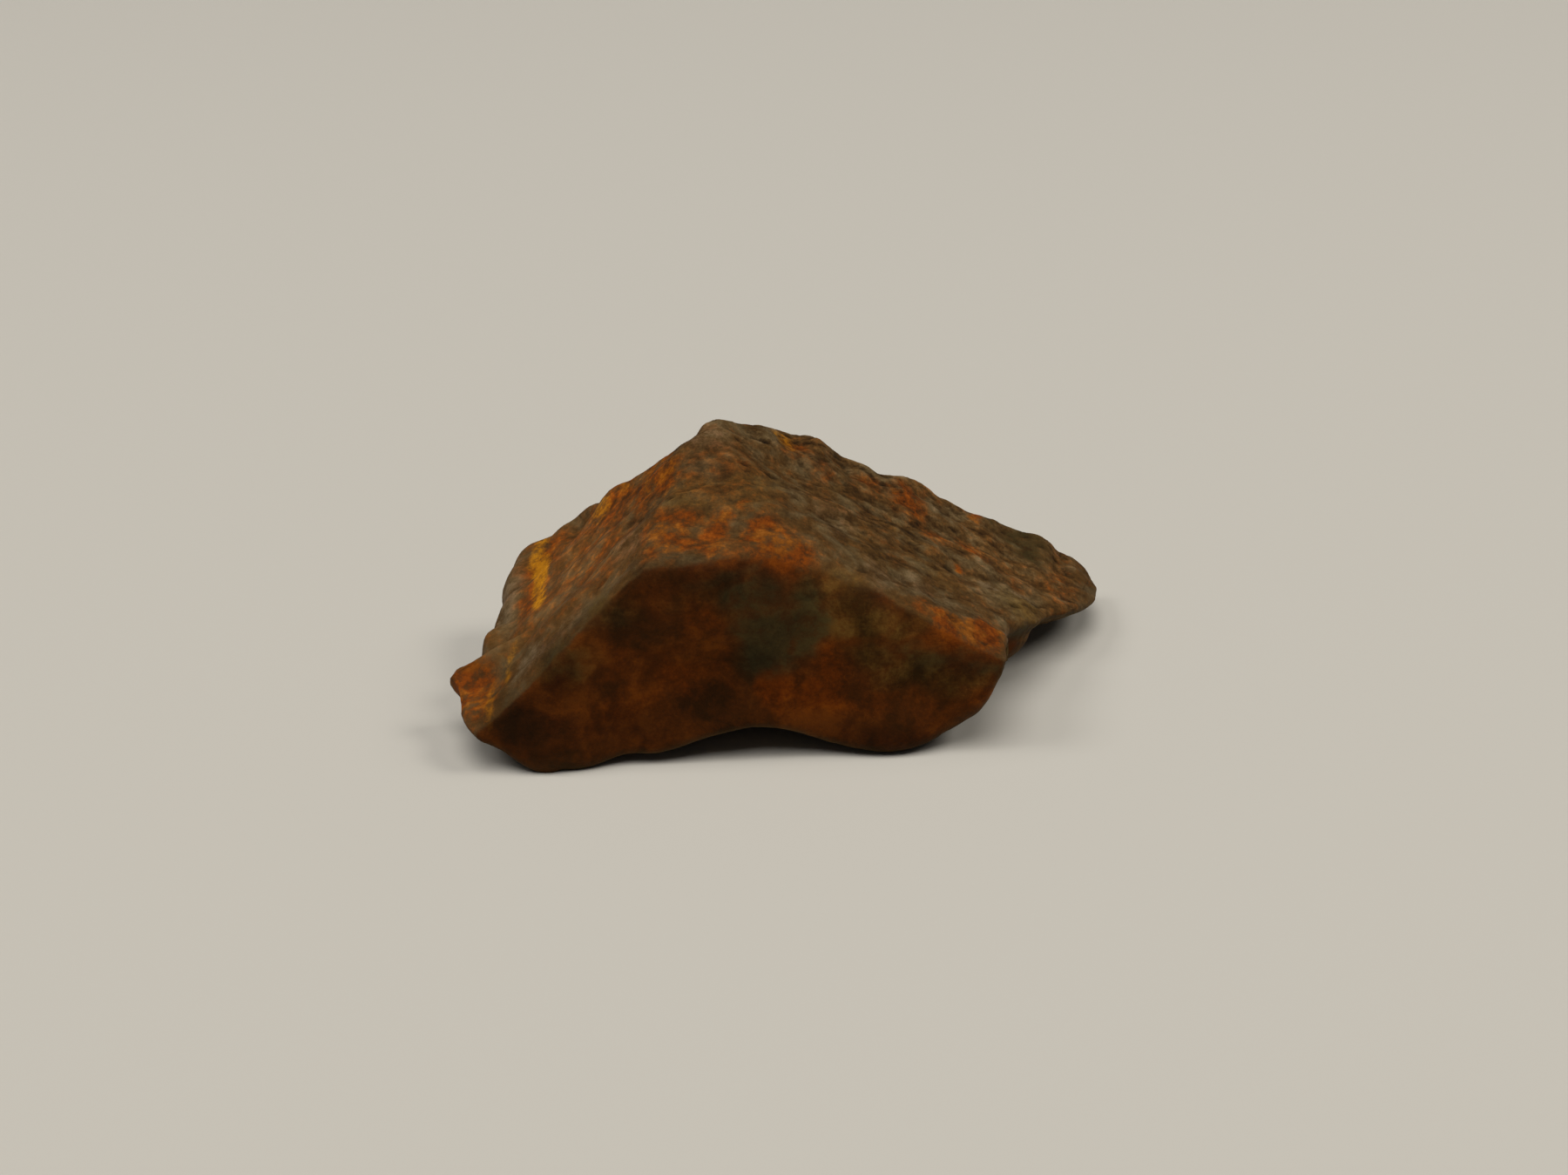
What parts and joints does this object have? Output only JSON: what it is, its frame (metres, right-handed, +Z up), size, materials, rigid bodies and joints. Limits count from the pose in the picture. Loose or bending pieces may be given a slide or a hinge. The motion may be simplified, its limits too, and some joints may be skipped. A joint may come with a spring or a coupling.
{
  "type": "iron meteorite fragment",
  "caption": "Angular rusted fragment of nickel-iron, shaped like a low crooked roof with a scooped front face, an arched underside and three worn feet.",
  "frame": {"origin": "on the ground, under the middle of the fragment's box", "axes": "+X along the fragment's length, +Z up, -Y out of the scooped front face"},
  "size_m": [0.059, 0.035, 0.0235],
  "materials": {
    "weathered_iron": "rough, rusted and partly polished by wear"
  },
  "bodies": {
    "root": {"meteorite": "weathered_iron"}
  },
  "joints": []
}
